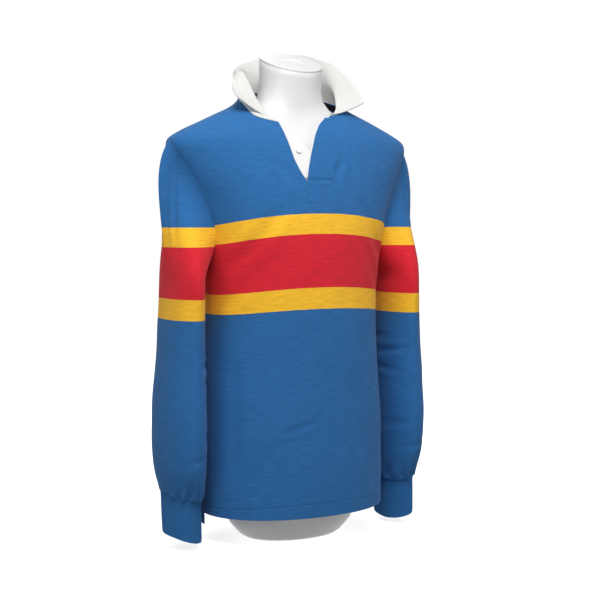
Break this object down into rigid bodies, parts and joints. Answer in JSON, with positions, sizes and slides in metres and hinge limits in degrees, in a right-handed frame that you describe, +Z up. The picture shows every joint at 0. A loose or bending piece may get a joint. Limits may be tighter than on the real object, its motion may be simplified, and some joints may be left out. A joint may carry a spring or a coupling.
{
  "type": "rugby shirt on a torso dress form",
  "caption": "Long-sleeved rugby shirt with chest and sleeve stripes, white turned-up collar and open placket, on a plain limbless torso form.",
  "frame": {"origin": "centre of the torso form's flat underside", "axes": "+Z up, -Y to the front of the shirt, +X to the wearer's left"},
  "size_m": [0.517, 0.2475, 0.8652],
  "materials": {
    "blue_jersey": "matte heavy cotton jersey with a fine slub; mid blue, with a yellow, a red and a yellow band knitted in across the chest and sleeves",
    "white_twill": "matte white cotton twill",
    "navy_tape": "matte near-black navy herringbone tape",
    "form_gloss": "smooth white with a soft gloss",
    "button_white": "satin white"
  },
  "bodies": {
    "root": {"front": "blue_jersey", "back": "blue_jersey", "sleeve_right": "blue_jersey", "sleeve_left": "blue_jersey", "cuff_right": "blue_jersey", "cuff_left": "blue_jersey", "placket_overlap": "blue_jersey", "placket_facing": "white_twill", "placket_underlap": "white_twill", "collar": "white_twill", "neck_tape": "navy_tape", "button": "button_white", "form": "form_gloss", "neck_cap": "form_gloss"}
  },
  "joints": []
}
